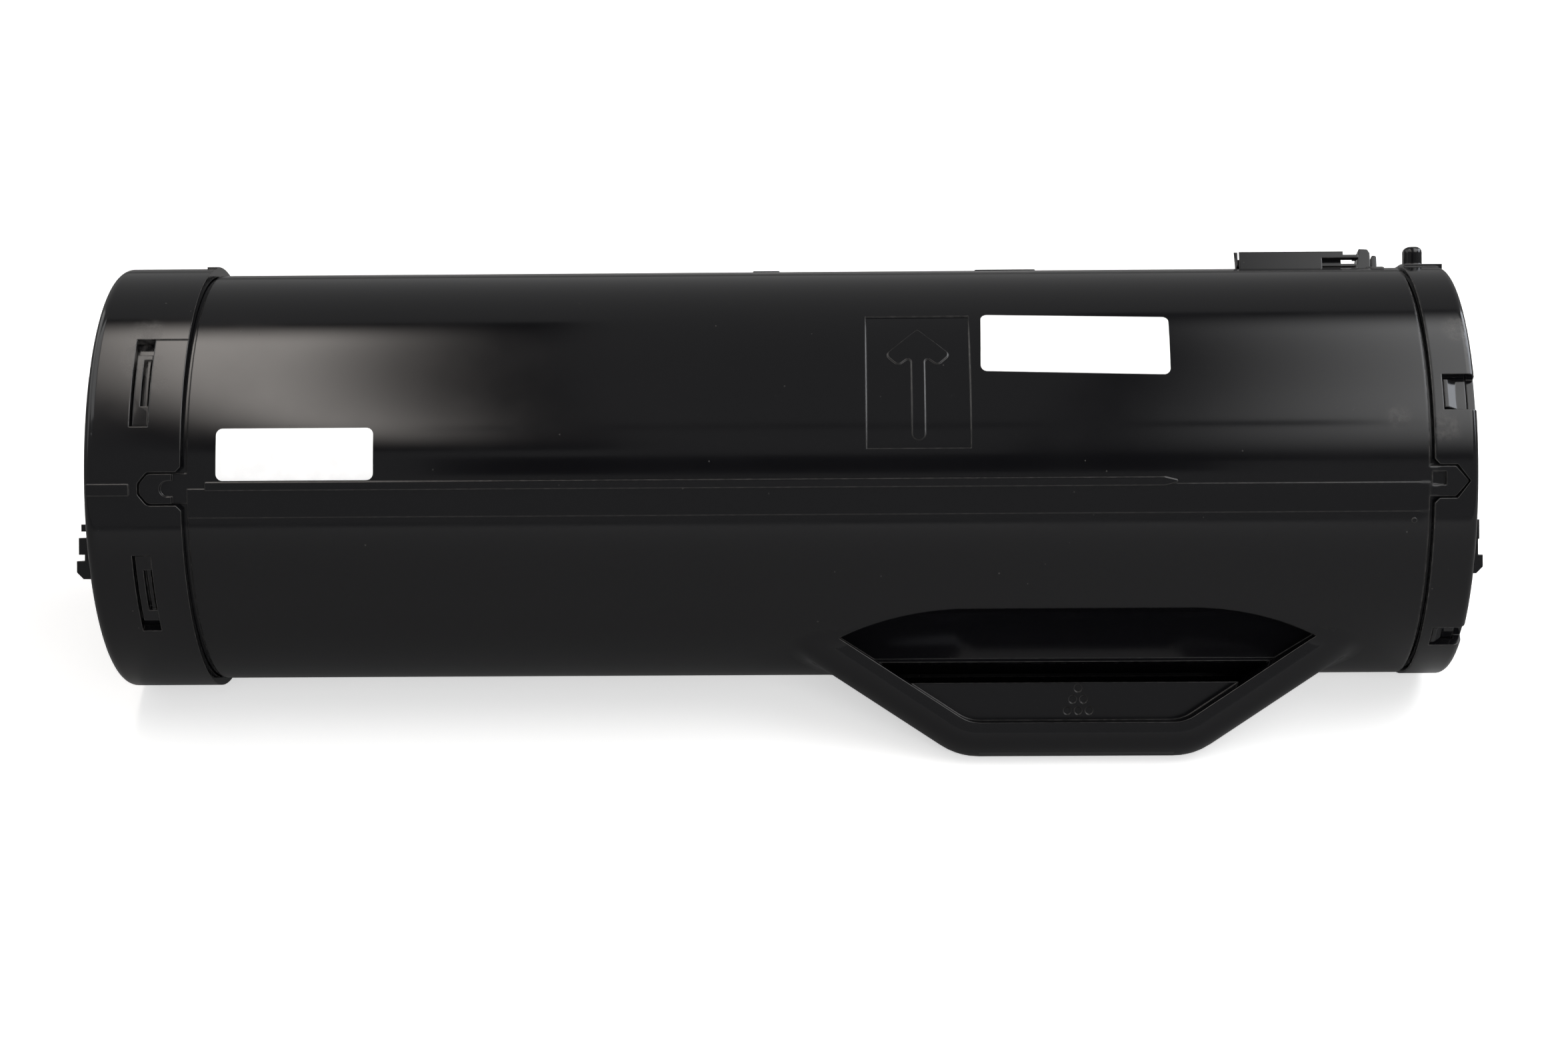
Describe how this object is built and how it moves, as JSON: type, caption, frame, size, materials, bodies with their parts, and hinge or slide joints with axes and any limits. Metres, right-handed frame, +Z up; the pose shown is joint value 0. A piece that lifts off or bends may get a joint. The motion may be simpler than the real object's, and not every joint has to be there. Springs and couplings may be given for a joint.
{
  "type": "toner cartridge",
  "caption": "Cylindrical toner cartridge with end caps, a scoop handle, a sliding outlet shutter and a geared agitator inside.",
  "frame": {"origin": "on the floor, under the middle of the cartridge's bounding box", "axes": "+X along the tube towards the outlet end, +Y away from the handle, +Z up"},
  "size_m": [0.332, 0.1082, 0.1035],
  "materials": {
    "black_gloss": "glossy near-black moulded plastic",
    "black_inner": "satin black moulded plastic",
    "acetal": "natural off-white gear plastic",
    "coupling": "dark grey gear plastic",
    "film": "clear grey polyester sheet",
    "clamp_steel": "plain steel strip",
    "foam": "closed-cell foam",
    "felt": "pressed felt",
    "natural_plastic": "natural white moulded plastic",
    "board": "green circuit board",
    "contact_gold": "gold-plated contact pads",
    "label": "blank white paper label"
  },
  "bodies": {
    "cartridge": {"toner_tank": "black_gloss", "drive_end_cap": "black_gloss", "outlet_end_cap": "black_gloss", "tank_end_plate": "black_inner", "plate_gasket": "foam", "shaft_bush": "acetal", "shaft_seal": "felt", "port_frame": "black_gloss", "port_seal": "foam", "fill_plug": "natural_plastic", "chip_board": "board", "chip_contacts": "contact_gold", "label_left": "label", "label_right": "label"},
    "agitator": {"agitator_shaft": "black_inner", "agitator_gear": "acetal", "agitator_film_upper": "film", "agitator_film_lower": "film", "film_clamp_upper": "clamp_steel", "film_clamp_lower": "clamp_steel"},
    "idler": {"idler_gear": "acetal"},
    "coupling": {"drive_coupling": "coupling"},
    "shutter": {"port_shutter": "black_gloss"}
  },
  "joints": [
    {"name": "agitator_spin", "type": "hinge", "parent": "cartridge", "child": "agitator", "pos_m": [0, 0.00162, 0.05177], "axis": [1, 0, 0], "continuous": true},
    {"name": "idler_spin", "type": "hinge", "parent": "cartridge", "child": "idler", "pos_m": [-0.15335, -0.02367, 0.0457], "axis": [1, 0, 0], "continuous": true},
    {"name": "coupling_spin", "type": "hinge", "parent": "cartridge", "child": "coupling", "pos_m": [-0.15955, 0.00162, 0.05177], "axis": [1, 0, 0], "continuous": true},
    {"name": "shutter_slide", "type": "slide", "parent": "cartridge", "child": "shutter", "axis": [-1, 0, 0], "range_m": [0, 0.0195]}
  ],
  "couplings": [
    {"joint": "idler_spin", "follows": "agitator_spin", "ratio": -2.25},
    {"joint": "coupling_spin", "follows": "agitator_spin", "ratio": 4.25}
  ]
}
